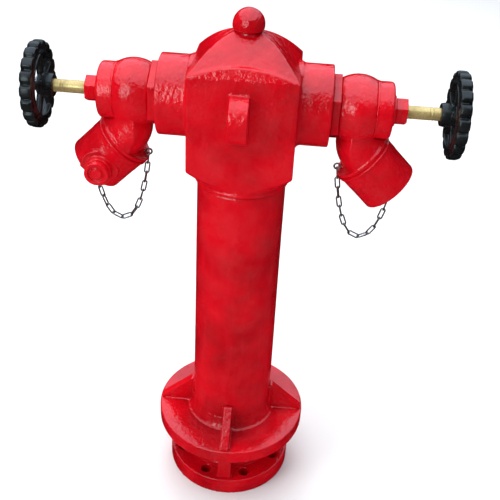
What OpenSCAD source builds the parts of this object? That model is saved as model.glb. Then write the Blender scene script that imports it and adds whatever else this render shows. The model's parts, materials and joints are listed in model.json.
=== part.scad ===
// Two-outlet pillar hydrant: a flanged standpipe carries a cast head with an oblique
// screw-down valve on each side. Millimetres, +Z up, X through the two handwheels.
// Origin: centre of the inlet flange's lower face.

/* [Base] */
// Diameter of the inlet flange
flange_d = 220; // [190:1:250]
// Thickness of the inlet flange
flange_t = 32; // [22:1:40]
// Diameter of the bolt circle
bolt_circle_d = 180; // [160:1:190]
// Diameter of each bolt hole
bolt_hole_d = 18; // [14:1:19]
// Number of bolt holes
bolt_count = 8; // [4:4:8]
// Diameter of the water inlet
inlet_d = 102; // [80:1:110]
// Diameter of the ground plate
plate_d = 262; // [240:1:300]
// Thickness of the ground plate
plate_t = 25; // [12:1:30]
// Height of the ground plate's upper face
plate_top = 126; // [100:1:150]
// Height of the gussets above the ground plate
gusset_h = 52; // [30:1:80]
// Thickness of the gussets
gusset_t = 15; // [8:1:20]
// Thickness of the ribs below the ground plate
rib_t = 24; // [10:1:30]

/* [Standpipe] */
// Outside diameter of the standpipe
pipe_d = 138; // [120:1:140]
// Wall of the standpipe
pipe_wall = 6.5; // [4:0.5:9]
// Height of the weld between the standpipe and the head
pipe_top = 595; // [400:1:700]

/* [Head] */
// Half width of the head, along X
head_half_w = 78; // [70:1:84]
// Half depth of the head, along Y
head_half_d = 70; // [66:1:84]
// Height of the head's flat sides
head_side_h = 144; // [140:1:170]
// Rise of the roof over the flat sides
roof_rise = 51; // [30:1:60]
// Wall of the head
head_wall = 9; // [6:0.5:12]
// Diameter of the side stubs
stub_d = 119; // [100:1:130]

/* [Valves] */
// Height of the valve axis
axis_z = 722; // [720:1:724]
// Outer radius of the globe
globe_r = 49.5; // [48:0.5:52]
// Diameter of the stem
stem_d = 19; // [16:0.5:20]
// Travel of the stem from closed to open
stem_travel = 20; // [10:1:20]
// Outer radius of the handwheel
wheel_r = 64; // [55:1:90]
// Number of finger lobes on the handwheel
wheel_lobes = 18; // [8:1:24]
// Number of handwheel spokes
wheel_spokes = 5; // [3:1:6]

/* [Outlets] */
// Downward angle of the outlets
outlet_angle = 45; // [40:1:50]
// Distance from the valve axis to the mouth, along the outlet
outlet_length = 173.4; // [172:0.2:176]
// Outer radius of the outlet coupling
coupling_r = 44.9; // [43:0.1:47]
// Bore radius of the outlet coupling
coupling_bore_r = 33.6; // [32:0.1:34]
// Travel of the release lug
lug_travel = 5.5; // [3:0.5:6]

/* [Hidden] */
$fn = 64;
SIDES = ["left", "right"];
ARM_PARTS = [
    "union_nipple", "valve_body", "seat_ring", "disc_nut", "disc_washer", "valve_disc",
    "stem", "bonnet_gasket", "bonnet", "gland_packing", "gland_nut", "handwheel",
    "wheel_washer", "wheel_nut", "outlet_coupling", "coupling_seal", "lug_plunger",
    "lug_spring", "lug_retainer", "blank_cap", "cap_seal", "cap_eye", "chain_eye", "chain"
];

// Joints between pieces of one body
gap = 0.1;
// Radial clearance of pieces that turn or slide
run = 0.07;
loose = 0.3;
big = 400;

red = "crimson";
rubber = "dimgray";
brass = "goldenrod";
steel = "silver";
black = [0.12, 0.12, 0.13];

// Base
pipe_r = pipe_d / 2;
plate_bottom = plate_top - plate_t;
pipe_socket_z = 14;
rib_reach = 104;
gusset_reach = plate_d / 2 - 3;
gusset_toe = 4;
rib_angles = [0, 90, 180, 270];
weld_leg = 8;

// Head
neck_r = pipe_r + 2;
neck_h = 8;
head_bottom = 633;
head_side_top = head_bottom + head_side_h;
roof_top = head_side_top + roof_rise;
roof_power_x = 1.93;
roof_power_y = 1.38;
spigot_depth = 20;
lug_disc_r = 36;
lug_disc_y = 66;
lug_disc_z = axis_z - 2;
front_lug_t = 28;
front_lug_shift = 3;
eave_rise = 15;
eave_lean = 8;
knob_r = 23.2;
knob_neck_r = 16.5;
knob_z = roof_top - 2;
knob_straight = 7.5;
knob_shank_r = 8;
roof_steps = 16;
knob_shank_depth = 18;

// Valve, along the stem axis and measured from the standpipe's axis
stub_r = stub_d / 2;
stem_r = stem_d / 2;
stub_x = 125;
hex_x = 137;
hex_flats = 86;
nipple_bore_r = 28;
nipple_stub_r = 38;
nipple_body_r = 34;
nipple_inner_x = 99;
nipple_outer_x = 146.5;
collar_r = 43;
globe_x = 163;
globe_wall = 6.5;
seat_web_x = 152.5;
seat_lip_x = 156;
seat_r = 30;
seat_lip_r = 33;
seat_bore_r = 24;
washer_t = 4;
washer_r = 29;
disc_x = seat_lip_x + washer_t;
disc_t = 9;
disc_r = 30;
disc_hub_t = 5;
disc_hub_r = stem_r + 6;
disc_stud_r = 5;
disc_stud_x = seat_lip_x - 7;
disc_nut_flats = 22;
bonnet_recess_x = disc_x + disc_t + disc_hub_t + stem_travel + 2;
bonnet_x = 187.3;
bonnet_end_x = 213;
bonnet_r = 41.5;
bonnet_round = 5;
bonnet_spigot_r = 36.5;
bonnet_spigot_x = 180;
gasket_t = 1.5;
boss_r = 22.4;
boss_x = 217.5;
packing_r = 13;
packing_x = 202;
packing_end_x = 208;
gland_flats = 35;
gland_x = 234.3;
stem_tip_x = disc_x + 2;
hub_x = 282;
hub_end_x = 304;
hub_r = 19;
shank_r = 7;
stem_end_x = 315.5;
wheel_x = 297;
wheel_end_x = 316;
wheel_inner_r = 46;
lobe_r = 9;
spoke_w = 11;
spoke_t = 6;
spoke_inset = 0.5;
rim_overlap = 4;
wheel_nut_x = 306;
wheel_nut_flats = 21;
wheel_nut_t = 8;

// Outlet, along its own axis from the point where that axis meets the valve axis
outlet_x = 103;
belly_x = 197;
belly_z = -50;
belly_r = 60;
ring_start = 104;
ring_chamfer = 3;
coupling_start = 111;
ring_end = 132;
branch_r = 44.6;
ring_r = 45.3;
branch_spigot_r = 37;
branch_bore_r = 29;
branch_wall = 7;
seal_end = 139;
plug_start = 141;
plug_end = 171;
plug_r = coupling_bore_r - loose;
plug_wall = 5;
plug_web_start = 160;
plug_boss_r = 9;
plug_boss_end = 176;
cap_seal_r = 1.3;
cap_seal_ring_r = coupling_bore_r - gap - cap_seal_r;
cap_seal_t = 148;
eye_r = 4.5;
eye_wire_r = 1.5;
eye_shank_r = eye_wire_r + 0.4;
cap_eye_t = plug_boss_end + eye_r + eye_wire_r + 0.2;
cap_eye_shank_t = 158;

// Release lug, along Y from the outlet's axis
lug_t = 152.8;
lug_base_r = 29;
lug_base_y = 46;
lug_boss_r = 20;
lug_boss_y = 56;
lug_pocket_r = 13;
lug_pocket_y = 37;
lug_pin_r = 8;
lug_tip_y = plug_r + 0.6;
lug_collar_t = 2;
lug_knob_r = 18;
lug_knob_y = 66;
lug_dish_r = 12.5;
lug_dish_depth = 3;
spring_r = 10.4;
spring_wire_r = 0.7;
spring_turns = 5;
spring_steps = 14;
spring_sides = 8;
spring_solid_h = (spring_turns + 0.5) * 2 * spring_wire_r;
lug_ring_y = lug_pocket_y + lug_collar_t + lug_travel + spring_solid_h;

// Chain, a catenary in the arm's own XZ plane
chain_eye_x = 143.8;
chain_eye_z = 626.5;
chain_eye_shank_x = 165;
chain_low_x = 188.9;
chain_low_z = 505;
chain_a = 16;
chain_r = 2;
chain_sides = 8;
chain_steps = 36;
chain_reach = [-2.78, 2.47];

// A solid cylinder along +X from x0 to x1, on the valve axis
module rod_x(r, x0, x1, facets = $fn) {
    translate([x0, 0, axis_z])
        rotate([0, 90, 0])
            cylinder(r = r, h = x1 - x0, $fn = facets);
}

// A hexagon along +X with a corner on top
module hexagon_x(flats, x0, x1) {
    rod_x(flats / 2 / cos(30), x0, x1, 6);
}

// Children drawn for the right arm are turned to the named side
module on_arm(side) {
    rotate([0, 0, side == "left" ? 180 : 0])
        children();
}

// Children drawn along +Z are laid along the outlet, from its start on the valve axis
module on_outlet() {
    translate([outlet_x, 0, axis_z])
        rotate([0, 90 + outlet_angle, 0])
            children();
}

// A cylinder along the outlet from distance t0 to t1
module rod_t(r, t0, t1) {
    translate([0, 0, t0])
        cylinder(r = r, h = t1 - t0);
}

// A cylinder along the release lug from y0 to y1
module rod_lug(r, y0, y1) {
    translate([0, y0, lug_t])
        rotate([-90, 0, 0])
            cylinder(r = r, h = y1 - y0);
}

module ring_x(r, bore, x0, x1) {
    difference() {
        rod_x(r, x0, x1);
        rod_x(bore, x0 - 1, x1 + 1);
    }
}

module torus(r, wire_r) {
    rotate_extrude()
        translate([r, 0])
            circle(r = wire_r, $fn = 24);
}

// ---- Base and standpipe ----

module inlet_flange() {
    color(red)
    difference() {
        cylinder(d = flange_d, h = flange_t);
        translate([0, 0, -1])
            cylinder(d = inlet_d, h = flange_t + 2);
        translate([0, 0, pipe_socket_z])
            cylinder(r = pipe_r + gap, h = flange_t);
        for (i = [0 : bolt_count - 1])
            rotate([0, 0, (i + 0.5) * 360 / bolt_count])
                translate([bolt_circle_d / 2, 0, -1])
                    cylinder(d = bolt_hole_d, h = flange_t + 2);
    }
}

module standpipe() {
    color(red)
    translate([0, 0, pipe_socket_z])
        difference() {
            cylinder(r = pipe_r, h = pipe_top - pipe_socket_z);
            translate([0, 0, -1])
                cylinder(r = pipe_r - pipe_wall, h = pipe_top);
        }
}

module ground_plate() {
    color(red)
    translate([0, 0, plate_bottom])
        difference() {
            cylinder(d = plate_d, h = plate_t);
            translate([0, 0, -1])
                cylinder(r = pipe_r + gap, h = plate_t + 2);
        }
}

// Upright plates of one outline, one at each rib angle
module webs(outline, thickness) {
    for (a = rib_angles)
        rotate([90, 0, a])
            linear_extrude(thickness, center = true)
                polygon(outline);
}

module plate_gussets() {
    in = pipe_r + gap;
    color(red)
    webs([
        [in, plate_top],
        [gusset_reach, plate_top],
        [gusset_reach, plate_top + gusset_toe],
        [in + gusset_toe, plate_top + gusset_h],
        [in, plate_top + gusset_h]
    ], gusset_t);
}

module flange_ribs() {
    in = pipe_r + gap;
    color(red)
    webs([
        [in, flange_t],
        [rib_reach, flange_t],
        [rib_reach, plate_bottom],
        [in, plate_bottom]
    ], rib_t);
}

// A fillet weld round the standpipe from height z, up or down, left open where the webs meet it
module weld_bead(z, way, web_t) {
    difference() {
        translate([0, 0, z])
            rotate_extrude()
                polygon([
                    [pipe_r + gap, 0],
                    [pipe_r + weld_leg, 0],
                    [pipe_r + gap, way * weld_leg]
                ]);
        for (a = rib_angles)
            rotate([0, 0, a])
                translate([0, -web_t / 2 - gap, 0])
                    cube([big, web_t + 2 * gap, big]);
    }
}

module weld_beads() {
    color(red) {
        weld_bead(plate_top, 1, gusset_t);
        weld_bead(plate_bottom, -1, rib_t);
        weld_bead(flange_t, 1, rib_t);
    }
}

// ---- Head ----

// Outline of a roof facet that falls from a ridge to its two edges
function roof_outline(edge, base, rise, power) = [
    for (i = [-roof_steps : roof_steps])
        let (share = -i / roof_steps)
            [edge * share, base + rise * (1 - pow(abs(share), power))]
];

module roof_barrel(edge, length, base, bottom, rise, power) {
    rotate([90, 0, 0])
        linear_extrude(2 * length, center = true)
            polygon(concat([[edge, bottom]], roof_outline(edge, base, rise, power), [[-edge, bottom]]));
}

// A box with a hipped, curved roof
module roofed_box(half_w, half_d, bottom, base, rise) {
    intersection() {
        roof_barrel(half_w, half_d, base, bottom, rise, roof_power_x);
        rotate([0, 0, 90])
            roof_barrel(half_d, half_w, base, bottom, rise, roof_power_y);
    }
}

// A low arch over the front and back faces, its ends leaning in
module eaves() {
    intersection() {
        roof_barrel(head_half_w, head_half_d, head_side_top, head_bottom, eave_rise, 2);
        rotate([90, 0, 90])
            linear_extrude(2 * head_half_w, center = true)
                polygon([
                    [-head_half_d, head_bottom],
                    [head_half_d, head_bottom],
                    [head_half_d, head_side_top],
                    [head_half_d - eave_lean, head_side_top + eave_rise],
                    [eave_lean - head_half_d, head_side_top + eave_rise],
                    [-head_half_d, head_side_top]
                ]);
    }
}

module neck() {
    hull() {
        translate([-head_half_w, -head_half_d, head_bottom - 1])
            cube([2 * head_half_w, 2 * head_half_d, 1]);
        translate([0, 0, pipe_top + neck_h])
            cylinder(r = neck_r, h = 1, $fn = 64);
    }
    translate([0, 0, pipe_top])
        cylinder(r = neck_r, h = neck_h + 1);
}

module front_lug() {
    intersection() {
        translate([-front_lug_t / 2 - front_lug_shift, -lug_disc_y, lug_disc_z])
            rotate([0, 90, 0])
                cylinder(r = lug_disc_r, h = front_lug_t);
        translate([-big / 2, -head_half_d - big, 0])
            cube([big, big + 1, 3 * big]);
    }
}

module head_casting() {
    inner_w = head_half_w - head_wall;
    inner_d = head_half_d - head_wall;
    bore = pipe_r - pipe_wall;
    color(red)
    difference() {
        union() {
            roofed_box(head_half_w, head_half_d, head_bottom - 1, head_side_top, roof_rise);
            eaves();
            neck();
            rod_x(stub_r, -stub_x, stub_x);
            front_lug();
            rotate([0, 0, 180])
                front_lug();
            translate([0, 0, pipe_top - spigot_depth])
                cylinder(r = bore - gap, h = spigot_depth + 1);
            translate([0, 0, roof_top - knob_neck_r])
                cylinder(r = knob_neck_r, h = knob_z - gap - roof_top + knob_neck_r);
        }
        roofed_box(inner_w, inner_d, head_bottom + head_wall,
                   head_side_top - head_wall, roof_rise - 5);
        translate([0, 0, pipe_top - spigot_depth - 1])
            cylinder(r = bore - pipe_wall, h = head_wall + head_bottom - pipe_top + spigot_depth + 2);
        rod_x(nipple_stub_r, -stub_x - 1, stub_x + 1);
        // Seat and hole of the knob
        translate([0, 0, knob_z - gap])
            cylinder(r = knob_r + 1, h = knob_shank_depth);
        translate([0, 0, knob_z - knob_shank_depth])
            cylinder(r = knob_shank_r, h = knob_shank_depth + 1);
    }
}

module top_knob() {
    color(red) {
        translate([0, 0, knob_z])
            cylinder(r = knob_r, h = knob_straight);
        translate([0, 0, knob_z + knob_straight])
            intersection() {
                sphere(r = knob_r);
                translate([0, 0, big / 2 - 1])
                    cube(big, center = true);
            }
        translate([0, 0, knob_z - knob_shank_depth + 1])
            cylinder(r = knob_shank_r - gap, h = knob_shank_depth);
    }
}

// ---- Valve ----

module union_nipple() {
    color(red)
    difference() {
        union() {
            rod_x(nipple_stub_r - gap, nipple_inner_x, stub_x + gap);
            hexagon_x(hex_flats, stub_x + gap, hex_x - gap);
            rod_x(nipple_body_r - gap, hex_x - gap, nipple_outer_x - gap);
        }
        rod_x(nipple_bore_r, nipple_inner_x - 1, nipple_outer_x + 1);
    }
}

module valve_body() {
    color(red)
    difference() {
        union() {
            rod_x(collar_r, hex_x, globe_x);
            translate([globe_x, 0, axis_z])
                sphere(r = globe_r);
            rod_x(bonnet_r, globe_x, bonnet_x - gasket_t);
            intersection() {
                on_outlet()
                    rod_t(branch_r, ring_start / 3, coupling_start);
                translate([belly_x, 0, axis_z + belly_z])
                    sphere(r = belly_r);
            }
            on_outlet() {
                rod_t(branch_r, ring_start + ring_chamfer, coupling_start);
                translate([0, 0, ring_start])
                    cylinder(r1 = branch_r - ring_chamfer, r2 = branch_r, h = ring_chamfer);
            }
            on_outlet()
                rod_t(branch_spigot_r, coupling_start - 1, ring_end);
        }
        // The globe stops at the face of the union
        rod_x(globe_r + 1, 0, hex_x);
        // Room for the bonnet above the branch
        rod_x(bonnet_r + loose, bonnet_x - gasket_t, bonnet_x + globe_r);
        // Inlet socket, seat and chamber
        rod_x(nipple_body_r, hex_x - 1, nipple_outer_x);
        rod_x(seat_r, nipple_outer_x - 1, globe_x);
        intersection() {
            translate([globe_x, 0, axis_z])
                sphere(r = globe_r - globe_wall);
            translate([seat_web_x, -big / 2, 0])
                cube([big, big, 3 * big]);
        }
        rod_x(bonnet_spigot_r + gap, globe_x, bonnet_x + 1);
        // Waterway down the branch
        intersection() {
            on_outlet()
                rod_t(branch_bore_r, ring_start / 2, ring_end);
            translate([belly_x, 0, axis_z + belly_z])
                sphere(r = belly_r - branch_wall);
        }
        on_outlet()
            rod_t(branch_bore_r, ring_start + branch_wall, ring_end + 1);
        translate([chain_eye_x, 0, chain_eye_z])
            rotate([0, 90, 0])
                cylinder(r = eye_shank_r + gap, h = chain_eye_shank_x - chain_eye_x);
    }
}

module seat_ring() {
    color(brass)
    difference() {
        union() {
            rod_x(seat_r - gap, nipple_outer_x, seat_web_x + 1);
            rod_x(seat_lip_r, seat_web_x + gap, seat_lip_x - gap);
        }
        rod_x(seat_bore_r, nipple_outer_x - 1, seat_lip_x + 1);
    }
}

module disc_nut() {
    color(brass)
    difference() {
        hexagon_x(disc_nut_flats, disc_stud_x, seat_lip_x - gap);
        rod_x(disc_stud_r, disc_stud_x - 1, seat_lip_x + 1);
    }
}

module disc_washer() {
    color(rubber)
    ring_x(washer_r, disc_stud_r + gap, seat_lip_x, disc_x - gap);
}

module valve_disc() {
    color(brass)
    difference() {
        union() {
            rod_x(disc_r, disc_x, disc_x + disc_t);
            rod_x(disc_hub_r, disc_x, disc_x + disc_t + disc_hub_t);
            rod_x(disc_stud_r - gap, disc_stud_x, disc_x + 1);
        }
        rod_x(stem_r + run, stem_tip_x, disc_x + big);
    }
}

module stem() {
    color(brass) {
        rod_x(stem_r, stem_tip_x + run, hub_x);
        rod_x(shank_r, hub_x - 1, stem_end_x);
    }
}

module bonnet_gasket() {
    color(rubber)
    ring_x(bonnet_r - 1, bonnet_spigot_r + gap, bonnet_x - gasket_t + gap, bonnet_x - gap);
}

module bonnet() {
    color(red)
    difference() {
        union() {
            translate([bonnet_x, 0, axis_z])
                rotate([0, 90, 0])
                    rotate_extrude()
                        polygon(concat(
                            [[0, 0], [bonnet_r, 0]],
                            [for (a = [0 : 15 : 90]) [
                                bonnet_r - bonnet_round * (1 - cos(a)),
                                bonnet_end_x - bonnet_x - bonnet_round * (1 - sin(a))
                            ]],
                            [[0, bonnet_end_x - bonnet_x]]
                        ));
            rod_x(bonnet_spigot_r, bonnet_spigot_x, bonnet_x + 1);
            rod_x(boss_r, bonnet_end_x - 1, boss_x);
        }
        rod_x(disc_r + 2, bonnet_spigot_x - 1, bonnet_recess_x);
        rod_x(stem_r + run, bonnet_spigot_x, boss_x + 1);
        rod_x(packing_r + gap, packing_x, boss_x + 1);
    }
}

module gland_packing() {
    color(rubber)
    ring_x(packing_r, stem_r + run, packing_x + gap, packing_end_x - gap);
}

module gland_nut() {
    color(red)
    difference() {
        union() {
            rod_x(packing_r, packing_end_x, boss_x + gap);
            hexagon_x(gland_flats, boss_x + gap, gland_x);
        }
        rod_x(stem_r + run, packing_end_x - 1, gland_x + 1);
    }
}

// ---- Handwheel ----

module handwheel_outline() {
    pitch_r = wheel_r - lobe_r;
    difference() {
        union() {
            circle(r = wheel_r - 3);
            for (i = [0 : wheel_lobes - 1])
                rotate([0, 0, i * 360 / wheel_lobes])
                    translate([pitch_r, 0])
                        circle(r = lobe_r, $fn = 24);
        }
        circle(r = wheel_inner_r);
    }
}

module handwheel() {
    color(black)
    difference() {
        union() {
            translate([wheel_x, 0, axis_z])
                rotate([0, 90, 0])
                    linear_extrude(wheel_end_x - wheel_x)
                        handwheel_outline();
            rod_x(hub_r, hub_x, hub_end_x);
            for (i = [0 : wheel_spokes - 1])
                translate([wheel_x + spoke_inset, 0, axis_z])
                    rotate([i * 360 / wheel_spokes, 0, 0])
                        translate([0, -spoke_w / 2, hub_r - rim_overlap])
                            cube([spoke_t, spoke_w, wheel_inner_r - hub_r + 2 * rim_overlap]);
        }
        rod_x(shank_r + gap, hub_x - 1, hub_end_x + 1);
        rod_x(stem_r + gap, hub_x - 1, hub_x + gap);
    }
}

module wheel_washer() {
    color(steel)
    ring_x(hub_r - 3, shank_r + gap, hub_end_x + gap, wheel_nut_x - gap);
}

module wheel_nut() {
    color(steel)
    difference() {
        hexagon_x(wheel_nut_flats, wheel_nut_x, wheel_nut_x + wheel_nut_t);
        rod_x(shank_r + gap, wheel_nut_x - 1, wheel_nut_x + wheel_nut_t + 1);
    }
}

// ---- Outlet ----

module outlet_coupling() {
    color(red)
    on_outlet()
    difference() {
        union() {
            rod_t(ring_r, coupling_start + gap, ring_end);
            rod_t(coupling_r, ring_end - 1, outlet_length);
            intersection() {
                rod_lug(lug_base_r, coupling_bore_r + 1, lug_base_y);
                rod_t(2 * coupling_r, ring_end, outlet_length - 1);
            }
            rod_lug(lug_boss_r, coupling_bore_r + 1, lug_boss_y);
        }
        rod_t(branch_spigot_r + gap, coupling_start - 1, ring_end + gap);
        rod_t(coupling_bore_r, ring_end, outlet_length + 1);
        rod_lug(lug_pin_r + run, 0, lug_boss_y + 1);
        rod_lug(lug_pocket_r, lug_pocket_y, lug_boss_y + 1);
    }
}

module coupling_seal() {
    color(rubber)
    on_outlet()
    difference() {
        rod_t(coupling_bore_r - gap, ring_end + 2 * gap, seal_end);
        rod_t(branch_bore_r - 1, ring_end - 1, seal_end + 1);
    }
}

module lug_plunger() {
    color(red)
    on_outlet()
    difference() {
        union() {
            rod_lug(lug_pin_r, lug_tip_y, lug_boss_y + 1);
            rod_lug(lug_pocket_r - loose, lug_pocket_y + loose, lug_pocket_y + loose + lug_collar_t);
            rod_lug(lug_knob_r, lug_boss_y + loose, lug_knob_y);
        }
        difference() {
            rod_lug(lug_dish_r, lug_knob_y - lug_dish_depth, lug_knob_y + 1);
            rod_lug(lug_dish_r - 4, lug_knob_y - lug_dish_depth - 1, lug_knob_y - 1);
        }
    }
}

module lug_retainer() {
    color(brass)
    on_outlet()
    difference() {
        rod_lug(lug_pocket_r - gap, lug_ring_y, lug_boss_y - gap);
        rod_lug(lug_pin_r + run, lug_ring_y - 1, lug_boss_y + 1);
    }
}

function spring_start() = lug_pocket_y + loose + lug_collar_t + spring_wire_r + gap;
function spring_length() = lug_ring_y - gap - spring_wire_r - spring_start();

// A wire of round section wound about the lug's axis
module lug_spring() {
    rings = spring_turns * spring_steps;
    points = [
        for (i = [0 : rings], k = [0 : spring_sides - 1])
            let (turn = 360 * i / spring_steps,
                 side = 360 * k / spring_sides,
                 r = spring_r + spring_wire_r * cos(side),
                 h = spring_start() + spring_length() * i / rings)
                [r * cos(turn), h + spring_wire_r * sin(side), lug_t + r * sin(turn)]
    ];
    color(steel)
    on_outlet()
        tube_skin(points, rings, spring_sides, false);
}

// The closed skin of a tube whose points come ring by ring
module tube_skin(points, rings, sides, flip) {
    walls = [
        for (i = [0 : rings - 1], k = [0 : sides - 1])
            let (next = (k + 1) % sides)
                [i * sides + k, i * sides + next, (i + 1) * sides + next, (i + 1) * sides + k]
    ];
    ends = [
        [for (k = [sides - 1 : -1 : 0]) k],
        [for (k = [0 : sides - 1]) rings * sides + k]
    ];
    faces = concat(walls, ends);
    polyhedron(
        points,
        flip ? [for (face = faces) [for (i = [len(face) - 1 : -1 : 0]) face[i]]] : faces
    );
}

module blank_cap() {
    color(brass)
    on_outlet()
    difference() {
        union() {
            rod_t(plug_r, plug_start, plug_end);
            rod_t(plug_boss_r, plug_web_start, plug_boss_end);
        }
        rod_t(plug_r - plug_wall, plug_start - 1, plug_web_start);
        translate([0, 0, cap_seal_t])
            torus(cap_seal_ring_r, cap_seal_r + gap);
        rod_t(eye_shank_r + gap, plug_start, plug_boss_end + 1);
    }
}

module cap_seal() {
    color(rubber)
    on_outlet()
        translate([0, 0, cap_seal_t])
            torus(cap_seal_ring_r, cap_seal_r);
}

// An eye bolt: a round shank with a ring whose hole looks along Y
module eye_bolt(shank_from, shank_to, ring_at) {
    rod_t(eye_shank_r, shank_from, shank_to);
    translate([0, 0, ring_at])
        rotate([90, 0, 0])
            torus(eye_r, eye_wire_r);
}

module cap_eye() {
    color(steel)
    on_outlet()
        eye_bolt(cap_eye_shank_t, cap_eye_t - eye_r, cap_eye_t);
}

module chain_eye() {
    color(steel)
    translate([chain_eye_x, 0, chain_eye_z])
        rotate([0, 90, 0])
            eye_bolt(eye_r, chain_eye_shank_x - chain_eye_x - 1, 0);
}

// Catenary at a distance u from its lowest point, counted in units of chain_a
function chain_x(u) = chain_low_x + chain_a * u;
function chain_z(u) = chain_low_z + chain_a * ((exp(u) + exp(-u)) / 2 - 1);
function chain_slope(u) = atan((exp(u) - exp(-u)) / 2);
// Equal steps along the arc: its length grows with the sine of a hyperbolic angle
function arc_of(u) = (exp(u) - exp(-u)) / 2;
function u_of(arc) = ln(arc + sqrt(arc * arc + 1));

module chain() {
    first = arc_of(chain_reach[0]);
    last = arc_of(chain_reach[1]);
    points = [
        for (i = [0 : chain_steps], k = [0 : chain_sides - 1])
            let (u = u_of(first + (last - first) * i / chain_steps),
                 side = 360 * k / chain_sides,
                 out = chain_r * cos(side))
                [chain_x(u) - out * sin(chain_slope(u)), chain_r * sin(side),
                 chain_z(u) + out * cos(chain_slope(u))]
    ];
    color(steel)
        tube_skin(points, chain_steps, chain_sides, false);
}

inlet_flange();
standpipe();
ground_plate();
plate_gussets();
flange_ribs();
weld_beads();
head_casting();
top_knob();

for (side = SIDES)
    on_arm(side) {
        union_nipple();
        valve_body();
        seat_ring();
        disc_nut();
        disc_washer();
        valve_disc();
        stem();
        bonnet_gasket();
        bonnet();
        gland_packing();
        gland_nut();
        handwheel();
        wheel_washer();
        wheel_nut();
        outlet_coupling();
        coupling_seal();
        lug_plunger();
        lug_spring();
        lug_retainer();
        blank_cap();
        cap_seal();
        cap_eye();
        chain_eye();
        chain();
    }
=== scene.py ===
"""Looks for the pillar hydrant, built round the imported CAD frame. Lengths are metres."""

import json
import math
import random

import bmesh
import bpy
from mathutils import Matrix, Vector


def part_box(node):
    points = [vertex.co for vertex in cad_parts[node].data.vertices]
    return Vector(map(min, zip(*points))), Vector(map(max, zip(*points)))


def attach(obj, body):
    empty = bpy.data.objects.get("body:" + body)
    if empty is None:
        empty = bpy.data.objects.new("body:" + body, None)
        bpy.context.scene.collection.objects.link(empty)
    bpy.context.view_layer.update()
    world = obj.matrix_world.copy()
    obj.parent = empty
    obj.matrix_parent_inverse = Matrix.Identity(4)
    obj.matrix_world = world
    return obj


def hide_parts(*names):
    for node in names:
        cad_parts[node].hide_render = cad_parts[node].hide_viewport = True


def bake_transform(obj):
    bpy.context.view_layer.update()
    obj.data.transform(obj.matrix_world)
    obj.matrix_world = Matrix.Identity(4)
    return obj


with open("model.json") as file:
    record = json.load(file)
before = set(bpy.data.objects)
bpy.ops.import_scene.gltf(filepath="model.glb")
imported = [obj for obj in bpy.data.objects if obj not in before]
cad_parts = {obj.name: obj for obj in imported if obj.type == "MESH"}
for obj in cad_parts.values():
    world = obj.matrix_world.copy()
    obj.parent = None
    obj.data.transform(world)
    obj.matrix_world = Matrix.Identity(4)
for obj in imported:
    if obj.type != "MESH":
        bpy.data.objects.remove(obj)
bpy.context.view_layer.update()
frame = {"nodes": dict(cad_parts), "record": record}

SIDES = ("left", "right")
ROOT = "hydrant"


# ---------------------------------------------------------------- places read from the frame

def centre(node):
    """Middle of a CAD node's box."""
    low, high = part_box(node)
    return (low + high) / 2


# Height of the valve axis
AXIS_Z = centre("right_stem").z
PIPE_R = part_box("standpipe")[1].x
PLATE_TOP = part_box("ground_plate")[1].z
PLATE_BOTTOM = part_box("ground_plate")[0].z
PLATE_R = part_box("ground_plate")[1].x
FLANGE_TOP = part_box("inlet_flange")[1].z
# How far the head's socket reaches down over the pipe's top
HEAD_SPIGOT = 0.020
PIPE_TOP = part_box("head_casting")[0].z + HEAD_SPIGOT

# The outlet leaves the valve axis at this X and drops at 45 degrees
OUTLET_X = 0.103
OUTLET_DROP = math.radians(45)


def arm(side):
    """Turns what is drawn for the right arm to the named side."""
    return Matrix.Rotation(math.pi if side == "left" else 0, 4, "Z")


def along_valve(x=0.0):
    """Local +Z runs along the valve axis, from x metres out."""
    return Matrix.Translation((x, 0, AXIS_Z)) @ Matrix.Rotation(math.pi / 2, 4, "Y")


def along_outlet(t=0.0):
    """Local +Z runs along the outlet, from t metres down it."""
    turn = Matrix.Rotation(math.pi / 2 + OUTLET_DROP, 4, "Y")
    return Matrix.Translation((OUTLET_X, 0, AXIS_Z)) @ turn @ Matrix.Translation((0, 0, t))


# ---------------------------------------------------------------- materials

def new_material(name, metallic=0.0, ior=1.5):
    material = bpy.data.materials.new(name)
    material.use_nodes = True
    shader = material.node_tree.nodes["Principled BSDF"]
    shader.inputs["Metallic"].default_value = metallic
    shader.inputs["IOR"].default_value = ior
    return material, material.node_tree, shader


def object_point(tree, stretch=(1, 1, 1)):
    """The point in the piece's own coordinates, stretched."""
    coord = tree.nodes.new("ShaderNodeTexCoord")
    mapping = tree.nodes.new("ShaderNodeMapping")
    mapping.inputs["Scale"].default_value = stretch
    tree.links.new(coord.outputs["Object"], mapping.inputs["Vector"])
    return mapping.outputs["Vector"]


def noise_value(tree, point, scale, detail=3.0, rough=0.5):
    node = tree.nodes.new("ShaderNodeTexNoise")
    node.inputs["Scale"].default_value = scale
    node.inputs["Detail"].default_value = detail
    node.inputs["Roughness"].default_value = rough
    tree.links.new(point, node.inputs["Vector"])
    return node.outputs["Fac"]


def voronoi_value(tree, point, scale, output="Distance"):
    node = tree.nodes.new("ShaderNodeTexVoronoi")
    node.inputs["Scale"].default_value = scale
    tree.links.new(point, node.inputs["Vector"])
    return node.outputs[output]


def spread(tree, value, low, high, out_low=0.0, out_high=1.0):
    """Maps low..high of a value to out_low..out_high, clamped."""
    node = tree.nodes.new("ShaderNodeMapRange")
    node.inputs["From Min"].default_value = low
    node.inputs["From Max"].default_value = high
    node.inputs["To Min"].default_value = out_low
    node.inputs["To Max"].default_value = out_high
    tree.links.new(value, node.inputs["Value"])
    return node.outputs["Result"]


def combine(tree, operation, a, b):
    node = tree.nodes.new("ShaderNodeMath")
    node.operation = operation
    for socket, value in zip(node.inputs, (a, b)):
        if isinstance(value, (int, float)):
            socket.default_value = value
        else:
            tree.links.new(value, socket)
    return node.outputs["Value"]


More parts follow.
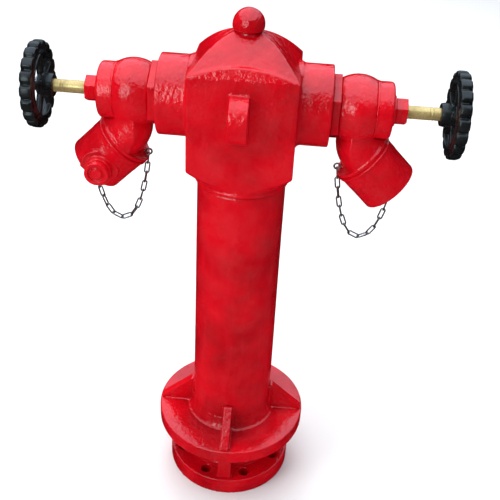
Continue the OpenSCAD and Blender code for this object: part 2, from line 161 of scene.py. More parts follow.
def mix_colour(tree, share, a, b):
    """Colour a where share is 0, b where it is 1. Either may be a socket."""
    node = tree.nodes.new("ShaderNodeMix")
    node.data_type = "RGBA"
    for socket, value in ((node.inputs[6], a), (node.inputs[7], b)):
        if isinstance(value, tuple):
            socket.default_value = (*value, 1)
        else:
            tree.links.new(value, socket)
    tree.links.new(share, node.inputs[0])
    return node.outputs[2]


def bumps(tree, shader, layers):
    """Stacks (height socket, distance in metres, strength) layers into the shader's normal."""
    normal = None
    for height, distance, strength in layers:
        node = tree.nodes.new("ShaderNodeBump")
        node.inputs["Distance"].default_value = distance
        node.inputs["Strength"].default_value = strength
        tree.links.new(height, node.inputs["Height"])
        if normal:
            tree.links.new(normal, node.inputs["Normal"])
        normal = node.outputs["Normal"]
    tree.links.new(normal, shader.inputs["Normal"])


def edge_wear(tree):
    """1 on sharp outer edges, 0 elsewhere."""
    geometry = tree.nodes.new("ShaderNodeNewGeometry")
    return spread(tree, geometry.outputs["Pointiness"], 0.53, 0.60)


def hollow(tree):
    """1 in inner corners, 0 elsewhere."""
    geometry = tree.nodes.new("ShaderNodeNewGeometry")
    return spread(tree, geometry.outputs["Pointiness"], 0.48, 0.42)


def red_enamel():
    """Thick gloss enamel brushed over a rough casting: orange peel, sags, runs and dusty patches, with
    painted shade darkening the inner corners.
    """
    material, tree, shader = new_material("red_enamel", ior=1.6)
    point = object_point(tree)
    runs = object_point(tree, (1, 1, 0.16))
    patches = noise_value(tree, point, 9, 4, 0.55)
    streaks = noise_value(tree, runs, 95, 3, 0.5)
    deep = (0.43, 0.0010, 0.0055)
    bright = (0.69, 0.0020, 0.0100)
    faded = (0.74, 0.012, 0.028)
    # Dark red for the real chips and pits, and for painted shade in inner corners
    pit_and_shade_dark = (0.11, 0.006, 0.008)
    colour = mix_colour(tree, spread(tree, patches, 0.36, 0.60), deep, bright)
    colour = mix_colour(tree, spread(tree, streaks, 0.55, 0.80, 0, 0.35), colour, faded)
    colour = mix_colour(tree, combine(tree, "MULTIPLY", edge_wear(tree), 0.35), colour, faded)
    # Painted shade: inner corners darkened towards the dark red, standing in for occlusion
    colour = mix_colour(tree, combine(tree, "MULTIPLY", hollow(tree), 0.75), colour, pit_and_shade_dark)
    pits = spread(tree, voronoi_value(tree, point, 170), 0.07, 0.03)
    sparse = spread(tree, noise_value(tree, point, 24, 2), 0.60, 0.66)
    chips = combine(tree, "MULTIPLY", pits, sparse)
    colour = mix_colour(tree, combine(tree, "MULTIPLY", chips, 0.7), colour, pit_and_shade_dark)
    tree.links.new(colour, shader.inputs["Base Color"])
    haze = spread(tree, noise_value(tree, point, 32, 4, 0.6), 0.35, 0.70, 0.10, 0.24)
    tree.links.new(haze, shader.inputs["Roughness"])
    peel = noise_value(tree, point, 420, 2, 0.5)
    cast_skin = noise_value(tree, point, 130, 3, 0.55)
    sags = noise_value(tree, runs, 60, 2, 0.45)
    bumps(tree, shader, (
        (sags, 0.0030, 0.50),
        (cast_skin, 0.0022, 0.70),
        (peel, 0.0005, 0.40),
        (chips, -0.0006, 0.5),
    ))
    return material


def black_wheel():
    """Semi-gloss moulded handwheel with flow marks and rubbed edges."""
    material, tree, shader = new_material("black_wheel", ior=1.5)
    point = object_point(tree)
    cloud = noise_value(tree, point, 40, 4, 0.6)
    black = (0.004, 0.0045, 0.005)
    flow_mark = (0.014, 0.016, 0.016)
    rubbed = (0.07, 0.075, 0.075)
    colour = mix_colour(tree, spread(tree, cloud, 0.3, 0.7), black, flow_mark)
    colour = mix_colour(tree, combine(tree, "MULTIPLY", edge_wear(tree), 0.5), colour, rubbed)
    tree.links.new(colour, shader.inputs["Base Color"])
    tree.links.new(spread(tree, cloud, 0.3, 0.7, 0.22, 0.38), shader.inputs["Roughness"])
    bumps(tree, shader, (
        (noise_value(tree, point, 120, 3), 0.0010, 0.5),
        (noise_value(tree, point, 900, 2), 0.00015, 0.4),
    ))
    return material


def brass():
    """Turned brass: fine rings across the valve axis, lighter along the rings as turned marks and as a
    painted highlight, tarnish in patches.
    """
    material, tree, shader = new_material("brass", metallic=0.5)
    point = object_point(tree)
    rings = noise_value(tree, object_point(tree, (60, 1, 1)), 38, 2)
    tarnish = noise_value(tree, point, 55, 4, 0.6)
    clean, dull = (0.74, 0.56, 0.22), (0.46, 0.32, 0.11)
    polished_ring_highlight = (0.92, 0.82, 0.52)
    grime = (0.16, 0.10, 0.04)
    colour = mix_colour(tree, spread(tree, tarnish, 0.40, 0.72), clean, dull)
    # Light bands along the rings: partly real turning marks, partly a painted highlight
    colour = mix_colour(tree, spread(tree, rings, 0.45, 0.75, 0, 0.35), colour, polished_ring_highlight)
    colour = mix_colour(tree, combine(tree, "MULTIPLY", hollow(tree), 0.7), colour, grime)
    tree.links.new(colour, shader.inputs["Base Color"])
    tree.links.new(spread(tree, tarnish, 0.3, 0.7, 0.20, 0.40), shader.inputs["Roughness"])
    bumps(tree, shader, ((rings, 0.00025, 0.5), (noise_value(tree, point, 600, 2), 0.0001, 0.3)))
    return material


def rubber():
    """Matt black rubber with a dusty bloom."""
    material, tree, shader = new_material("rubber")
    point = object_point(tree)
    bloom = noise_value(tree, point, 90, 4, 0.6)
    black, dusty = (0.012, 0.012, 0.012), (0.05, 0.048, 0.045)
    colour = mix_colour(tree, spread(tree, bloom, 0.4, 0.7), black, dusty)
    tree.links.new(colour, shader.inputs["Base Color"])
    tree.links.new(spread(tree, bloom, 0.3, 0.7, 0.65, 0.9), shader.inputs["Roughness"])
    bumps(tree, shader, ((noise_value(tree, point, 700, 3), 0.0002, 0.5),))
    return material


def steel():
    """Zinc-plated steel: spangle with brown, dull patches."""
    material, tree, shader = new_material("steel", metallic=0.92)
    point = object_point(tree)
    spangle = voronoi_value(tree, point, 420, "Color")
    grey = tree.nodes.new("ShaderNodeRGBToBW")
    tree.links.new(spangle, grey.inputs["Color"])
    cloud = noise_value(tree, point, 160, 4, 0.6)
    dark, light = (0.22, 0.22, 0.22), (0.48, 0.48, 0.47)
    tarnish = (0.10, 0.085, 0.07)
    colour = mix_colour(tree, spread(tree, grey.outputs["Val"], 0.2, 0.8), dark, light)
    colour = mix_colour(tree, spread(tree, cloud, 0.58, 0.75, 0, 0.8), colour, tarnish)
    tree.links.new(colour, shader.inputs["Base Color"])
    tree.links.new(spread(tree, cloud, 0.3, 0.7, 0.28, 0.52), shader.inputs["Roughness"])
    bumps(tree, shader, ((cloud, 0.0003, 0.4),))
    return material


MATERIALS = {
    "red_enamel": red_enamel(),
    "black_wheel": black_wheel(),
    "brass": brass(),
    "rubber": rubber(),
    "steel": steel(),
}


# ---------------------------------------------------------------- mesh tools

def circle(radius, height, steps=160):
    """Points once round local Z, the first not repeated."""
    turns = (2 * math.pi * i / steps for i in range(steps))
    return [(radius * math.cos(a), radius * math.sin(a), height) for a in turns]


def add_lathe(bm, profile, place=Matrix.Identity(4), steps=128, wobble=None):
    """Turns a closed profile of (radius, height) points about local Z."""
    rings = []
    for i in range(steps):
        turn = 2 * math.pi * i / steps
        ring = []
        for radius, height in profile:
            r = radius + (wobble(turn, height) if wobble else 0)
            ring.append(bm.verts.new(place @ Vector((r * math.cos(turn), r * math.sin(turn), height))))
        rings.append(ring)
    count = len(profile)
    for i in range(steps):
        for k in range(count):
            here, there = rings[i], rings[(i + 1) % steps]
            bm.faces.new((here[k], there[k], there[(k + 1) % count], here[(k + 1) % count]))


def add_prism(bm, outline, thickness, place):
    """A closed plate with the outline in local XY, centred on local Z."""
    low = [bm.verts.new(place @ Vector((x, y, -thickness / 2))) for x, y in outline]
    high = [bm.verts.new(place @ Vector((x, y, thickness / 2))) for x, y in outline]
    count = len(outline)
    bm.faces.new(list(reversed(low)))
    bm.faces.new(high)
    for k in range(count):
        bm.faces.new((low[k], low[(k + 1) % count], high[(k + 1) % count], high[k]))


def add_tube(bm, points, radius, sides=12, closed=False, place=Matrix.Identity(4)):
    """A round tube along points. radius is a number or a function of the point's number."""
    points = [Vector(p) for p in points]
    count = len(points)
    rings = []
    side_way = None
    for i, p in enumerate(points):
        before = points[(i - 1) % count] if closed or i else points[0]
        after = points[(i + 1) % count] if closed or i < count - 1 else points[-1]
        along = (after - before).normalized()
        if side_way is None:
            side_way = along.orthogonal().normalized()
        side_way = (side_way - along * side_way.dot(along)).normalized()
        other = along.cross(side_way)
        r = radius(i) if callable(radius) else radius
        ring = []
        for k in range(sides):
            a = 2 * math.pi * k / sides
            ring.append(bm.verts.new(place @ (p + r * (math.cos(a) * side_way + math.sin(a) * other))))
        rings.append(ring)
    spans = count if closed else count - 1
    for i in range(spans):
        here, there = rings[i], rings[(i + 1) % count]
        shift = 0
        if closed and i == count - 1:
            shift = min(range(sides), key=lambda s: (here[0].co - there[s].co).length)
        for k in range(sides):
            a, b = (k + shift) % sides, (k + 1 + shift) % sides
            bm.faces.new((here[k], here[(k + 1) % sides], there[b], there[a]))
    if not closed:
        bm.faces.new(list(reversed(rings[0])))
        bm.faces.new(rings[-1])


def rounded(corners, steps=5):
    """A closed profile whose corners (x, y, radius) are rounded off."""
    points = []
    count = len(corners)
    for i, (x, y, radius) in enumerate(corners):
        here = Vector((x, y))
        if radius <= 0:
            points.append((x, y))
            continue
        back = Vector(corners[i - 1][:2]) - here
        ahead = Vector(corners[(i + 1) % count][:2]) - here
        reach = min(radius, back.length * 0.49, ahead.length * 0.49)
        start, end = here + back.normalized() * reach, here + ahead.normalized() * reach
        for k in range(steps + 1):
            t = k / steps
            p = start * (1 - t) ** 2 + here * 2 * t * (1 - t) + end * t ** 2
            points.append((p.x, p.y))
    return points


def new_piece(bm, name):
    """Puts the mesh into the scene as an object and frees it."""
    mesh = bpy.data.meshes.new(name)
    bm.to_mesh(mesh)
    bm.free()
    piece = bpy.data.objects.new(name, mesh)
    bpy.context.scene.collection.objects.link(piece)
    return piece


def finish_piece(bm, name, slot, body, nodes):
    """Turns the mesh into a smooth piece that wears the slot's material and rides on the body."""
    bmesh.ops.recalc_face_normals(bm, faces=bm.faces)
    piece = new_piece(bm, name)
    dress(piece, slot, body, nodes)
    return piece


def dress(piece, slot, body, nodes):
    """Gives the piece its material and, if one is named, its body, and hides the CAD nodes that it
    replaces.
    """
    mesh = piece.data
    mesh.materials.clear()
    mesh.materials.append(MATERIALS[slot])
    mesh.polygons.foreach_set("material_index", [0] * len(mesh.polygons))
    mesh.polygons.foreach_set("use_smooth", [True] * len(mesh.polygons))
    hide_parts(*nodes)
    if body:
        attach(piece, body)


def sharpen(piece, degrees=40):
    """Keeps edges steeper than this crisp under smooth shading."""
    bm = bmesh.new()
    bm.from_mesh(piece.data)
    for edge in bm.edges:
        if len(edge.link_faces) == 2 and edge.calc_face_angle() > math.radians(degrees):
            edge.smooth = False
    bm.to_mesh(piece.data)
    bm.free()


def melted(bm, name, slot, body, nodes, voxel, rounds, ratio):
    """A piece whose overlapping solids are one cast skin with rounded edges and filled corners."""
    piece = new_piece(bm, name)
    melt = piece.modifiers.new("melt", "REMESH")
    melt.mode = "VOXEL"
    melt.voxel_size = voxel
    soften = piece.modifiers.new("soften", "SMOOTH")
    soften.factor = 0.5
    soften.iterations = rounds
    thin = piece.modifiers.new("thin", "DECIMATE")
    thin.ratio = ratio
    depsgraph = bpy.context.evaluated_depsgraph_get()
    mesh = bpy.data.meshes.new_from_object(piece.evaluated_get(depsgraph), depsgraph=depsgraph)
    piece.modifiers.clear()
    piece.data = mesh
    dress(piece, slot, body, nodes)


def cast(name, node, body, voxel, rounds, ratio, extra=None):
    """A cast or forged piece in red enamel: the CAD node's solids, with what extra adds, melted."""
    bm = bmesh.new()
    bm.from_mesh(frame["nodes"][node].data)
    bmesh.ops.remove_doubles(bm, verts=bm.verts, dist=1e-6)
    if extra:
        extra(bm)
    melted(bm, name, "red_enamel", body, [node], voxel, rounds, ratio)


# ---------------------------------------------------------------- standpipe, plates and welds

def standpipe():
    """Drawn tube, very slightly out of round."""
    low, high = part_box("standpipe")
    wall = 0.0065
    rows = 90
    height = high.z - low.z
    outer = [(PIPE_R, low.z + height * i / rows) for i in range(rows + 1)]
    inner = [(PIPE_R - wall, z) for _, z in reversed(outer)]
    oval, lobed = 0.00022, 0.00014

    def wobble(turn, z):
        long_wave = oval * math.sin(2 * turn + 9 * z) + lobed * math.sin(3 * turn - 17 * z)
        return long_wave - (oval + lobed)

    bm = bmesh.new()
    add_lathe(bm, outer + inner, steps=160, wobble=wobble)
    finish_piece(bm, "standpipe_tube", "red_enamel", ROOT, ["standpipe"])


def ground_plate():
    """Heavy disc with a worn, rounded rim."""
    bore = PIPE_R + 0.0001
    edge = 0.0035
    wave = 0.0002
    profile = rounded([
        (bore, PLATE_BOTTOM, 0), (PLATE_R, PLATE_BOTTOM, edge),
        (PLATE_R, PLATE_TOP, edge), (bore, PLATE_TOP, 0),
    ])
    bm = bmesh.new()
    add_lathe(bm, profile, steps=192, wobble=lambda turn, z: wave * math.sin(5 * turn) - wave)
    finish_piece(bm, "ground_plate_disc", "red_enamel", ROOT, ["ground_plate"])


def ripple(size, pitch=3):
    """The swelling and thinning of a hand-laid weld bead."""
    return lambda i: size * (1 + 0.10 * math.sin(2 * math.pi * i / pitch) + 0.05 * math.sin(0.7 * i))


def add_pipe_fillet(bm, z, way, reach, height):
    """Concave weld round the pipe, standing up (way 1) or hanging down (way -1) from the height z."""
    sink = 0.001
    under_pipe = PIPE_R - 0.002
    toe = PIPE_R + reach
    profile = [(under_pipe, z - way * sink), (toe, z - way * sink), (toe, z + way * 0.0008)]
    for degrees in range(9, 90, 9):
        a = math.radians(degrees)
        profile.append((PIPE_R + reach * (1 - math.sin(a)), z + way * height * (1 - math.cos(a))))
    profile.append((under_pipe, z + way * height))
    add_lathe(bm, profile, steps=240, wobble=lambda turn, h: 0.0003 * math.sin(41 * turn))


def add_plate_welds(bm, turn, way):
    """Beads along one side (way) of a gusset's foot and back and of the rib's foot below it."""
    sink = 0.0004
    gusset_half, rib_half = 0.0075, 0.012
    bead_r = 0.0024
    gusset_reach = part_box("plate_gussets")[1].x - 0.006 - PIPE_R
    gusset_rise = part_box("plate_gussets")[1].z - PLATE_TOP - 0.003
    rib_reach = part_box("flange_ribs")[1].x - 0.003 - PIPE_R
    y = way * (gusset_half + sink)
    rib_y = way * (rib_half + sink)
    foot = [(PIPE_R + gusset_reach * i / 26, y, PLATE_TOP + sink) for i in range(27)]
    back = [(PIPE_R + sink, y, PLATE_TOP + gusset_rise * i / 24) for i in range(25)]
    rib_foot = [(PIPE_R + rib_reach * i / 18, rib_y, FLANGE_TOP + sink) for i in range(19)]
    for points in (foot, back, rib_foot):
        add_tube(bm, points, ripple(bead_r), 8, place=turn)


def weld_seams():
    """Fillet welds round the pipe at the plate and the flange, and along every gusset and rib."""
    leg = 0.0095
    tall_leg, tall_rise = 0.0105, 0.023
    bm = bmesh.new()
    add_pipe_fillet(bm, PLATE_TOP, 1, tall_leg, tall_rise)
    add_pipe_fillet(bm, PLATE_BOTTOM, -1, leg, leg)
    add_pipe_fillet(bm, FLANGE_TOP, 1, leg, leg)
    for quarter in range(4):
        turn = Matrix.Rotation(quarter * math.pi / 2, 4, "Z")
        for way in (-1, 1):
            add_plate_welds(bm, turn, way)
    bmesh.ops.recalc_face_normals(bm, faces=bm.faces)
    melted(bm, "weld_seams", "red_enamel", ROOT, ["weld_beads"], 0.0011, 2, 0.5)


def base():
    standpipe()
    ground_plate()
    cast("inlet_flange_cast", "inlet_flange", ROOT, 0.0014, 4, 0.35)
    cast("gusset_plates", "plate_gussets", ROOT, 0.0011, 4, 0.35)
    cast("rib_plates", "flange_ribs", ROOT, 0.0011, 4, 0.35)
    weld_seams()


# ---------------------------------------------------------------- head

def head_extras(bm):
    """Weld collar round the neck, and fillets where the stubs leave the head."""
    collar_wire, root_wire = 0.0034, 0.0035
    add_tube(bm, circle(PIPE_R + 0.0012, PIPE_TOP + 0.0038, 180), collar_wire, 12, closed=True)
    root_x = 0.0785
    root_r = 0.0585
    for way in (-1, 1):
        root = [(way * root_x, y, AXIS_Z + z) for y, z, _ in circle(root_r, 0)]
        add_tube(bm, root, root_wire, 10, closed=True)


def head():
    cast("head_cast", "head_casting", ROOT, 0.0015, 8, 0.4, extra=head_extras)
    roof_knob()


def roof_knob():
    """Hemisphere on a short waist, on its spigot in the roof."""
    low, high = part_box("top_knob")
    knob_r = high.x
    spigot_r = 0.0079
    wave = 0.00025
    waist_h = 0.0075
    foot = high.z - knob_r - waist_h
    profile = [(0.0, low.z), (spigot_r, low.z), (spigot_r, foot), (knob_r - 0.004, foot)]
    profile += [(knob_r - 0.0012, foot + 0.0010), (knob_r, foot + 0.0045)]
    for degrees in range(0, 86, 5):
        a = math.radians(degrees)
        profile.append((knob_r * math.cos(a), high.z - knob_r + knob_r * math.sin(a)))
    profile.append((0.0, high.z))
    bm = bmesh.new()
    add_lathe(bm, profile, steps=96, wobble=lambda turn, z: wave * math.sin(3 * turn + 120 * z) - wave)
    bmesh.ops.remove_doubles(bm, verts=bm.verts, dist=0.0004)
    bmesh.ops.recalc_face_normals(bm, faces=bm.faces)
    melted(bm, "roof_knob", "red_enamel", ROOT, ["top_knob"], 0.0009, 3, 0.5)


# ---------------------------------------------------------------- valves

def stem(side):
    """Brass stem with its worn trapezoid thread between the gland and the wheel."""
    low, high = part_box("right_stem")
    start, end = low.x, high.x
    radius, shank = 0.0095, 0.007
    shoulder = 0.282
    chamfer = 0.0008
    pitch = 0.005
    thread_depth = 0.00035
    thread_from, thread_to = 0.262, 0.277
    place = arm(side) @ along_valve()
    steps, rows = 64, 420
    bm = bmesh.new()

    def thread(turn, x):
        """Depth of the groove at a turn (0 to 1) and a place along the stem."""
        phase = (x / pitch - turn) % 1
        groove = max(0.0, min(1.0, 4 * abs(phase - 0.5) - 0.6))
        run_out = min(1, max(0, (x - thread_from) / pitch), max(0, (thread_to - x) / pitch))
        return thread_depth * groove * run_out

    def ring(x, radius_at):
        verts = []
        for k in range(steps):
            a = 2 * math.pi * k / steps
            r = radius_at(k / steps)
            verts.append(bm.verts.new(place @ Vector((r * math.cos(a), r * math.sin(a), x))))
        return verts

    rings = []
    for i in range(rows + 1):
        x = start + (shoulder - start) * i / rows
        rings.append(ring(x, lambda turn: radius - thread(turn, x)))
    for shank_r, x in ((shank, shoulder), (shank, end - chamfer), (shank - chamfer, end)):
        rings.append(ring(x, lambda turn: shank_r))
    for here, there in zip(rings, rings[1:]):
        for k in range(steps):
            bm.faces.new((here[k], here[(k + 1) % steps], there[(k + 1) % steps], there[k]))
    bm.faces.new(rings[0])
    bm.faces.new(list(reversed(rings[-1])))
    piece = finish_piece(bm, f"{side}_stem_turned", "brass", f"{side}_spindle", [f"{side}_stem"])
    sharpen(piece)


WHEEL_R, WHEEL_INNER_R = 0.064, 0.046
WHEEL_IN, WHEEL_OUT = 0.297, 0.316


def add_wheel_rim(bm, place):
    """Squarish ring with wide finger lobes, grooves between them and a dished inner face."""
    lobes, steps_per_lobe, sides = 18, 20, 28
    crown_depth, groove_depth, groove_width, dish_depth = 0.0012, 0.0042, 0.13, 0.0030
    squareness = 0.55
    middle_r, half_r = (WHEEL_R + WHEEL_INNER_R) / 2, (WHEEL_R - WHEEL_INNER_R) / 2
    middle_x, half_x = (WHEEL_IN + WHEEL_OUT) / 2, (WHEEL_OUT - WHEEL_IN) / 2
    steps = lobes * steps_per_lobe
    rings = []
    for i in range(steps):
        turn = 2 * math.pi * i / steps
        off = ((i / steps_per_lobe + 0.5) % 1) - 0.5
        crown = crown_depth * (2 * off) ** 2
        groove = groove_depth * math.exp(-((0.5 - abs(off)) / groove_width) ** 2)
        ring = []
        for k in range(sides):
            a = 2 * math.pi * k / sides
            out = math.copysign(abs(math.cos(a)) ** squareness, math.cos(a))
            across = math.copysign(abs(math.sin(a)) ** squareness, math.sin(a))
            r = middle_r + half_r * out
            x = middle_x + half_x * across
            if out > 0:
                r -= (crown + groove) * min(1, out * 1.3)
            if across > 0 and out > 0:
                x -= 0.9 * groove * across * out
            elif across < 0 and abs(out) < 0.8:
                x += dish_depth * (1 - (out / 0.8) ** 2)
            ring.append(bm.verts.new(place @ Vector((r * math.cos(turn), r * math.sin(turn), x))))
        rings.append(ring)
    for i in range(steps):
        here, there = rings[i], rings[(i + 1) % steps]
        for k in range(sides):
            bm.faces.new((here[k], here[(k + 1) % sides], there[(k + 1) % sides], there[k]))


def add_wheel_lip(bm, place):
    """Raised lip round the inner edge of the rim."""
    near, far = WHEEL_IN - 0.0002, WHEEL_IN + 0.008
    inside, outside = WHEEL_INNER_R - 0.001, WHEEL_INNER_R + 0.0022
    edge = 0.0008
    lip = rounded([(inside, near, edge), (outside, near, edge), (outside, far, 0), (inside, far, edge)], 3)
    add_lathe(bm, lip, place, 160)


def add_wheel_hub(bm, place):
    bore, hub_r = 0.0071, 0.0175
    near, far = 0.282, 0.304
    hub = rounded([
        (bore, near, 0), (hub_r - 0.001, near, 0.0015), (hub_r, near + 0.006, 0.002),
        (hub_r, far - 0.001, 0.001), (bore, far, 0),
    ], 3)
    add_lathe(bm, hub, place, 96)


def add_wheel_spokes(bm, place):
    """Waisted spokes, each with a rib along its middle."""
    spokes = 5
    waisted = [(0.011, -0.0070), (0.030, -0.0046), (0.050, -0.0062)]
    waisted += [(x, -y) for x, y in reversed(waisted)]
    rib = [(0.012, -0.0018), (0.048, -0.0015)]
    rib += [(x, -y) for x, y in reversed(rib)]
    for k in range(spokes):
        # Local X points down on the valve axis, and the first spoke points up
        turn = Matrix.Rotation(math.pi + 2 * math.pi * k / spokes, 4, "Z")
        add_prism(bm, waisted, 0.006, place @ Matrix.Translation((0, 0, WHEEL_IN + 0.0038)) @ turn)
        add_prism(bm, rib, 0.010, place @ Matrix.Translation((0, 0, WHEEL_IN + 0.0052)) @ turn)


def handwheel(side):
    """Moulded wheel: wide finger lobes, a raised inner lip, five ribbed spokes and a bossed hub."""
    place = arm(side) @ along_valve()
    bm = bmesh.new()
    add_wheel_rim(bm, place)
    add_wheel_lip(bm, place)
    add_wheel_hub(bm, place)
    add_wheel_spokes(bm, place)
    bmesh.ops.recalc_face_normals(bm, faces=bm.faces)
    name, body = f"{side}_wheel_moulding", f"{side}_spindle"
    melted(bm, name, "black_wheel", body, [f"{side}_handwheel"], 0.0009, 2, 0.6)


def wheel_nut(side):
    """Hexagon nut with softened edges on the end of the stem."""
    place = arm(side) @ along_valve()
    low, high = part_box("right_wheel_nut")
    corner_r = (high.y - low.y) / 2
    turns = (math.radians(60 * k) for k in range(6))
    corners = [(corner_r * math.cos(a), corner_r * math.sin(a)) for a in turns]
    bm = bmesh.new()
    add_prism(bm, corners, high.x - low.x, place @ Matrix.Translation((0, 0, (low.x + high.x) / 2)))
    bmesh.ops.bevel(bm, geom=list(bm.edges), offset=0.0009, segments=2, affect="EDGES")
    name, body = f"{side}_wheel_nut_plated", f"{side}_spindle"
    nut = finish_piece(bm, name, "steel", body, [f"{side}_wheel_nut"])
    sharpen(nut, 35)


# Beads stand half out of the surface that they lie on
BRANCH_WIRE = 0.0024
BONNET_WIRE = 0.0016


def coupling_extras(side):
    """Bead over the joint between branch and coupling."""
    joint_r, joint_at = 0.0449, 0.1120

    def add(bm):
        place = arm(side) @ along_outlet()
        add_tube(bm, circle(joint_r, joint_at), BRANCH_WIRE, 8, closed=True, place=place)
    return add


def bonnet_extras(side):
    """Paint-filled bead where the bonnet meets the globe."""
    joint_r, from_face = 0.0412, 0.0282

    def add(bm):
        joint_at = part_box("right_bonnet")[1].x - from_face
        place = arm(side) @ along_valve()
        add_tube(bm, circle(joint_r, joint_at), BONNET_WIRE, 8, closed=True, place=place)
    return add


def body_extras(side):
    """Bead at the branch's shoulder, and the pad that the chain's eye is screwed into."""
    shoulder_r, shoulder_at = 0.0443, 0.1047
    pad_r, pad_from, pad_to = 0.0040, 0.1505, 0.172

    def add(bm):
        place = arm(side) @ along_outlet()
        add_tube(bm, circle(shoulder_r, shoulder_at), BRANCH_WIRE, 8, closed=True, place=place)
        z = centre("right_chain_eye").z
        add_tube(bm, [(pad_from, 0, z), (pad_to, 0, z)], pad_r, 24, place=arm(side))
    return add


def lug_spring(side):
    """Spring between the lug's collar and the retainer ring, built as one fixed coil."""
    low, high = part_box("right_lug_spring")
    middle = (low + high) / 2
    wire, coil_r, turns, steps = 0.0007, 0.0104, 5, 28
    count = turns * steps
    place = arm(side)
    points = [
        (middle.x + coil_r * math.cos(2 * math.pi * i / steps),
         low.y + wire + (high.y - low.y - 2 * wire) * i / count,
         middle.z + coil_r * math.sin(2 * math.pi * i / steps))
        for i in range(count + 1)
    ]
    bm = bmesh.new()
    add_tube(bm, points, wire, 10, place=place)
    piece = finish_piece(bm, f"{side}_spring_coil", "steel", None, [f"{side}_lug_spring"])
    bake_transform(piece)


def valve(side):
    cast(f"{side}_nipple_cast", f"{side}_union_nipple", ROOT, 0.0012, 3, 0.4)
    cast(f"{side}_globe_cast", f"{side}_valve_body", ROOT, 0.0012, 6, 0.4, body_extras(side))
    cast(f"{side}_bonnet_cast", f"{side}_bonnet", ROOT, 0.0011, 3, 0.4, bonnet_extras(side))
    cast(f"{side}_gland_cast", f"{side}_gland_nut", ROOT, 0.0008, 2, 0.5)
    cast(f"{side}_coupling_cast", f"{side}_outlet_coupling", ROOT, 0.0011, 4, 0.4, coupling_extras(side))
    cast(f"{side}_lug_cast", f"{side}_lug_plunger", f"{side}_lug", 0.0007, 3, 0.4)
    stem(side)
    handwheel(side)
    wheel_nut(side)
    lug_spring(side)


# ---------------------------------------------------------------- chains

CHAIN_LOW = (0.1889, 0.505)
CHAIN_SAG = 0.016
# Where the catenary is held, at the body's eye and at the cap's, in units of its sag
CHAIN_REACH = (-2.818, 2.538)
CHAIN_LENGTH = CHAIN_SAG * (math.sinh(CHAIN_REACH[1]) - math.sinh(CHAIN_REACH[0]))


def on_chain(s):
    """Point of the right arm's catenary, s metres along it from the body's eye."""
    u = math.asinh(math.sinh(CHAIN_REACH[0]) + s / CHAIN_SAG)
    low_x, low_z = CHAIN_LOW
    return Vector((low_x + CHAIN_SAG * u, 0, low_z + CHAIN_SAG * (math.cosh(u) - 1)))


def link_points(length, width, steps=8):
    """The centre line of an oblong link along local X, in local XY."""
    r = width / 2
    half = length / 2 - r
    points = []
    for end in (1, -1):
        for i in range(steps + 1):
            a = -math.pi / 2 + math.pi * i / steps
            points.append(Vector((end * (half + r * math.cos(a)), end * r * math.sin(a), 0)))
    return points


def chain(side):
    """Welded oblong links, each turned a quarter from the last, bending between the body and the cap."""
    count = 14
    wire, width, slack = 0.00125, 0.0066, 0.0001
    most_sway = 14
    rng = random.Random(7 if side == "left" else 11)
    place = arm(side)
    bm = bmesh.new()
    ends = [on_chain(CHAIN_LENGTH * i / count) for i in range(count + 1)]
    for i, (first, last) in enumerate(zip(ends, ends[1:])):
        span = last - first
        along = span.normalized()
        out = Vector((0, 1, 0))
        if i % 2:
            out = along.cross(out)
        sway = Matrix.Rotation(math.radians(rng.uniform(-most_sway, most_sway)), 3, along)
        out = (sway @ out).normalized()
        turn = Matrix((along, out, along.cross(out))).transposed().to_4x4()
        link = link_points(span.length + 2 * wire - slack, width)
        middle = Matrix.Translation((first + last) / 2)
        add_tube(bm, link, wire, 8, closed=True, place=place @ middle @ turn)
    piece = finish_piece(bm, f"{side}_chain_links", "steel", None, [f"{side}_chain"])
    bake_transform(piece)


# ---------------------------------------------------------------- CAD nodes that stay

def carry_over():
    """Gives every CAD node that still shows the material of its slot."""
    slots = {part["node"]: part["material_slot"] for part in frame["record"]["subparts"]}
    for node, piece in frame["nodes"].items():
        mesh = piece.data
        mesh.materials.clear()
        mesh.materials.append(MATERIALS[slots[node]])
        mesh.polygons.foreach_set("use_smooth", [True] * len(mesh.polygons))
        mesh.set_sharp_from_angle(angle=math.radians(35))


# ---------------------------------------------------------------- stage

def floor():
    """Pale matt ground that the enamel doesn't mirror."""
    bm = bmesh.new()
    bmesh.ops.create_grid(bm, x_segments=1, y_segments=1, size=12)
    obj = new_piece(bm, "floor")
    material, _, shader = new_material("floor")
    shader.inputs["Base Color"].default_value = (0.86, 0.86, 0.87, 1)
    shader.inputs["Roughness"].default_value = 0.9
    obj.data.materials.append(material)
    obj.visible_glossy = False


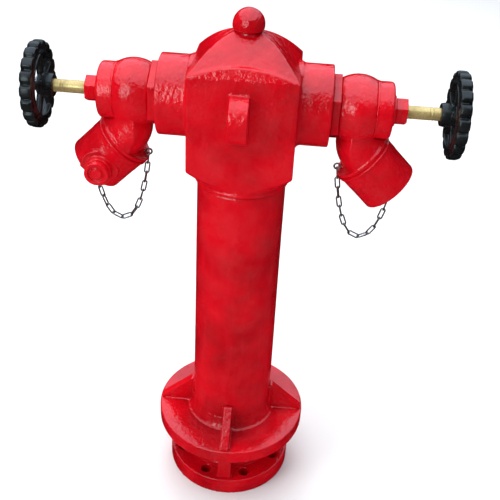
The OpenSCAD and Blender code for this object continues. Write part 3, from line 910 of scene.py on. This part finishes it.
def softbox(name, place, target, size, power, tint=(1, 1, 1), mirrored=False):
    """An area light. A mirrored one shows only as a reflection, any other only as light."""
    light = bpy.data.lights.new(name, "AREA")
    light.shape = "RECTANGLE"
    light.size, light.size_y = size
    light.energy = power
    light.color = tint
    obj = bpy.data.objects.new(name, light)
    obj.visible_camera = False
    obj.visible_glossy = mirrored
    obj.visible_diffuse = not mirrored
    obj.location = place
    obj.rotation_euler = (Vector(target) - Vector(place)).to_track_quat("-Z", "Y").to_euler()
    bpy.context.scene.collection.objects.link(obj)


def lighting():
    """Even daylight from a pale sky, which the gloss sees only as a bluish sky and a side window."""
    world = bpy.data.worlds.new("studio")
    world.use_nodes = True
    sky = world.node_tree.nodes["Background"].inputs
    sky["Color"].default_value = (0.93, 0.96, 1.0, 1)
    sky["Strength"].default_value = 0.62
    world.cycles_visibility.glossy = False
    bpy.context.scene.world = world
    bpy.context.scene.view_settings.view_transform = "Standard"
    sky_tint, window_tint = (0.66, 0.82, 1.0), (0.76, 0.94, 1.0)
    softbox("sky_panel", (-0.4, 0.3, 3.2), (0, 0, 0.5), (3.0, 2.4), 80)
    softbox("back_panel", (-0.6, 3.2, 2.4), (0, 0, 0.6), (3.2, 1.8), 52)
    softbox("key_panel", (-2.2, -1.8, 2.4), (0, 0, 0.6), (1.4, 1.4), 44)
    softbox("open_sky", (0, 2.6, 3.6), (0, 2.6, 0), (8.0, 10.0), 430, sky_tint, mirrored=True)
    softbox("side_window", (-2.0, -3.9, 2.2), (-0.2, 0, 0.7), (1.8, 2.8), 70, window_tint, mirrored=True)


def camera():
    """The photograph's viewpoint: in front, above, turned a little left and tilted."""
    pitch, roll, heading = 56.841, -2.721, 4.650
    data = bpy.data.cameras.new("camera")
    data.lens = 58.26
    data.sensor_width = 36
    obj = bpy.data.objects.new("camera", data)
    obj.location = (0.0746, -1.1048, 1.1834)
    obj.rotation_euler = [math.radians(angle) for angle in (pitch, roll, heading)]
    bpy.context.scene.collection.objects.link(obj)
    bpy.context.scene.camera = obj


camera()
lighting()
floor()
carry_over()
base()
head()
for arm_side in SIDES:
    valve(arm_side)
    chain(arm_side)
